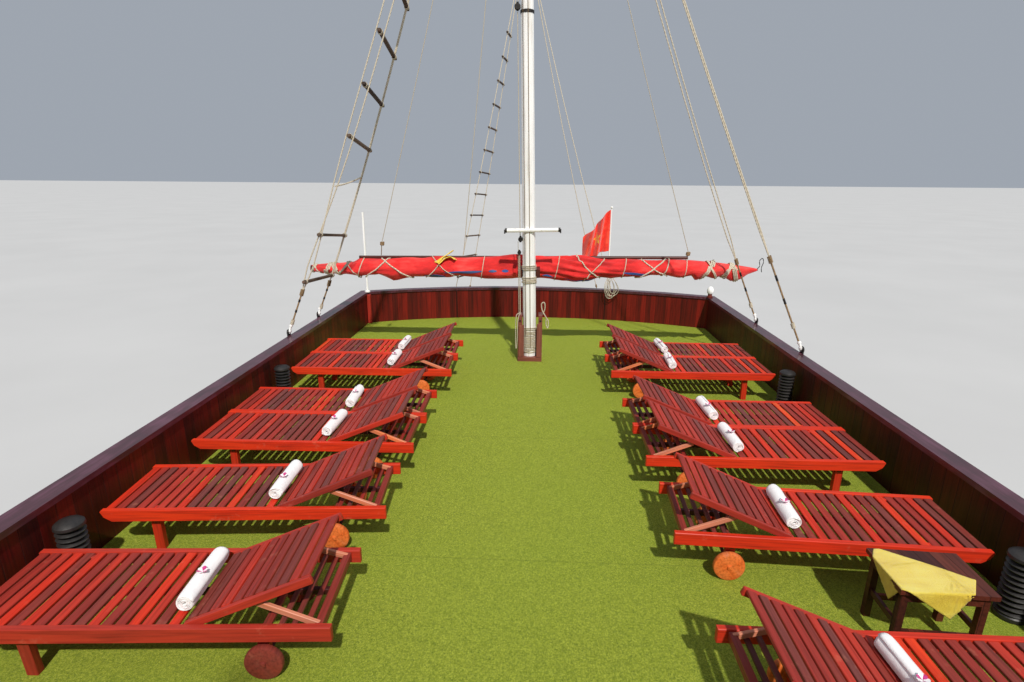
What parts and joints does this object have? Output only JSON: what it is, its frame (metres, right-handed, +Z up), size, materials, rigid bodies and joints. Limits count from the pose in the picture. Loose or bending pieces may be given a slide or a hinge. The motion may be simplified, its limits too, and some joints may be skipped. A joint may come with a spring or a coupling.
{
  "type": "three-masted timber bay-cruise junk",
  "caption": "Timber sailing and motor junk with a deckhouse, open sundeck with loungers, raised poop, masts with furled red sails, rudder and propeller.",
  "frame": {"origin": "on the waterline, on the centreline, 1 m abaft the main mast", "axes": "+X to starboard, +Y to the bow, +Z up from the water"},
  "size_m": [6.9687, 26.28, 14.3977],
  "materials": {
    "mahogany": "red-brown stained hardwood, oiled",
    "dark_timber": "dark stained hardwood, satin",
    "hull_timber": "oiled brown hull planks",
    "cap_timber": "purple-brown varnish, glossy",
    "white_paint": "off-white paint, weathered",
    "turf": "artificial grass carpet",
    "sail_cloth": "bright red canvas",
    "rope": "tan laid rope",
    "glass": "dark window glass",
    "bronze": "cast propeller bronze",
    "iron": "black painted iron",
    "flag_cloth": "red bunting"
  },
  "bodies": {
    "ship": {"hull": "hull_timber", "hull_bulwark": "mahogany", "deckhouse_port": "mahogany", "deckhouse_starboard": "mahogany", "deckhouse_front": "mahogany", "deckhouse_back": "mahogany", "window_glass_port": "glass", "window_glass_starboard": "glass", "gallery_port": "mahogany", "gallery_starboard": "mahogany", "sundeck": "dark_timber", "turf": "turf", "bulwark_port": "mahogany", "bulwark_starboard": "mahogany", "bulwark_front": "mahogany", "cap_rail": "cap_timber", "poop_walls": "mahogany", "poop_deck": "dark_timber", "poop_rail_port": "mahogany", "poop_rail_starboard": "mahogany", "stair_poop": "mahogany", "stern_ladder": "mahogany", "side_table": "dark_timber", "helm_stand": "mahogany", "hatch_coaming": "mahogany", "windlass_frame": "dark_timber", "anchor_port": "iron", "anchor_starboard": "iron", "main_mast": "white_paint", "main_tabernacle": "mahogany", "main_stays": "rope", "fore_mast": "white_paint", "fore_stays": "rope", "mizzen_mast": "white_paint", "mizzen_stays": "rope", "flagstaff": "white_paint", "ensign": "flag_cloth", "lounger_L1": "mahogany", "lounger_L2": "mahogany", "loungers_L3_L4": "mahogany", "loungers_L5_L6": "mahogany", "lounger_R1": "mahogany", "lounger_R2": "mahogany", "loungers_R3_R4": "mahogany", "loungers_R5_R6": "mahogany"},
    "rudder": {"rudder": "dark_timber"},
    "propeller": {"propeller": "bronze"},
    "front_port_door": {"door_front_port": "dark_timber"},
    "front_starboard_door": {"door_front_starboard": "dark_timber"},
    "back_door": {"door_back": "dark_timber"},
    "hatch": {"hatch_lid": "dark_timber"},
    "windlass": {"windlass_drum": "iron"},
    "helm": {"helm_wheel": "mahogany"},
    "main_sail": {"main_boom": "dark_timber", "main_yard": "dark_timber", "main_sail": "sail_cloth"},
    "fore_sail": {"fore_boom": "dark_timber", "fore_sail": "sail_cloth"},
    "mizzen_sail": {"mizzen_boom": "dark_timber", "mizzen_sail": "sail_cloth"}
  },
  "joints": [
    {"name": "rudder_turn", "type": "hinge", "parent": "ship", "child": "rudder", "pos_m": [0, -13.35, -0.9], "axis": [0, 0, 1], "range_deg": [-35, 35]},
    {"name": "propeller_spin", "type": "hinge", "parent": "ship", "child": "propeller", "pos_m": [0, -12.85, -0.87], "axis": [0, 1, 0], "continuous": true},
    {"name": "front_port_door_swing", "type": "hinge", "parent": "ship", "child": "front_port_door", "pos_m": [-0.7, 1.9, 0.85], "axis": [0, 0, 1], "range_deg": [0, 105]},
    {"name": "front_starboard_door_swing", "type": "hinge", "parent": "ship", "child": "front_starboard_door", "pos_m": [0.7, 1.9, 0.85], "axis": [0, 0, -1], "range_deg": [0, 105]},
    {"name": "back_door_swing", "type": "hinge", "parent": "ship", "child": "back_door", "pos_m": [0, -11.5, 0.85], "axis": [0, 0, 1], "range_deg": [0, 105]},
    {"name": "hatch_lift", "type": "hinge", "parent": "ship", "child": "hatch", "pos_m": [0, 5.26, 1.44083], "axis": [-1, 0, 0], "range_deg": [0, 95]},
    {"name": "windlass_spin", "type": "hinge", "parent": "ship", "child": "windlass", "pos_m": [0, 10.2, 1.85609], "axis": [1, 0, 0], "continuous": true},
    {"name": "helm_turn", "type": "hinge", "parent": "ship", "child": "helm", "pos_m": [0, -8.76, 4.88], "axis": [0, 1, 0], "range_deg": [-540, 540]},
    {"name": "main_sail_hoist", "type": "slide", "parent": "ship", "child": "main_sail", "axis": [-0.0227, 0, 0.9997], "range_m": [0, 3]},
    {"name": "fore_boom_swing", "type": "hinge", "parent": "ship", "child": "fore_sail", "pos_m": [-0.20269, 9.3, 2.38], "axis": [0, 0, 1], "range_deg": [-40, 40]},
    {"name": "mizzen_boom_swing", "type": "hinge", "parent": "ship", "child": "mizzen_sail", "pos_m": [0, -11.4, 6.35], "axis": [0, 0, 1], "range_deg": [-50, 50]}
  ]
}
